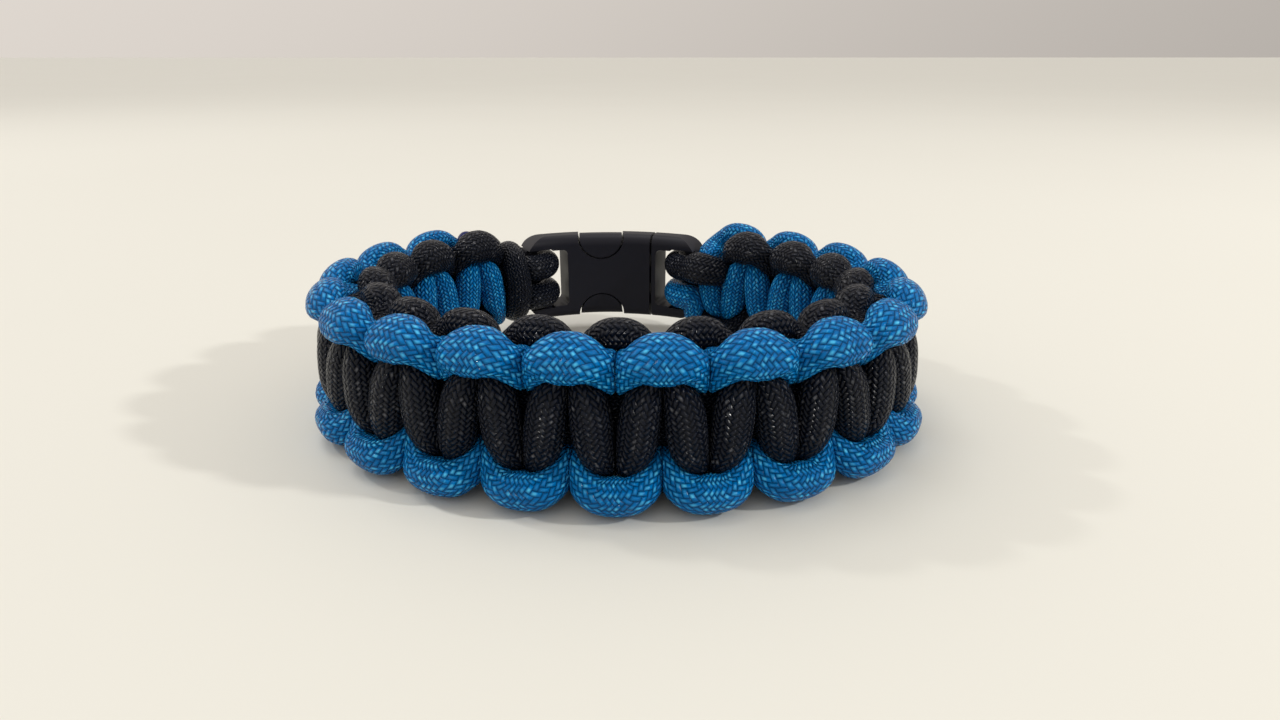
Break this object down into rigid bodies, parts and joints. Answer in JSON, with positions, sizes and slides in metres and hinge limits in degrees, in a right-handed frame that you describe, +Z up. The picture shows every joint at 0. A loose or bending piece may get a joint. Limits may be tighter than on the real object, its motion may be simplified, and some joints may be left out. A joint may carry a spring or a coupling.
{
  "type": "paracord bracelet",
  "caption": "Closed wrist bracelet woven from two colours of cord in a cobra weave, fastened by a small side-release buckle.",
  "frame": {"origin": "under the middle of the whole bracelet, on the surface it stands on", "axes": "+Z up, along the axis of the loop; +Y towards the buckle; +X along the buckle towards its plug"},
  "size_m": [0.0796, 0.0672, 0.0197],
  "materials": {
    "black_cord": "braided nylon sheath",
    "blue_cord": "braided nylon sheath",
    "buckle": "satin moulded plastic"
  },
  "bodies": {
    "root": {"black_cord": "black_cord", "blue_cord": "blue_cord", "core_cord": "black_cord", "buckle_socket": "buckle", "buckle_plug": "buckle"}
  },
  "joints": []
}
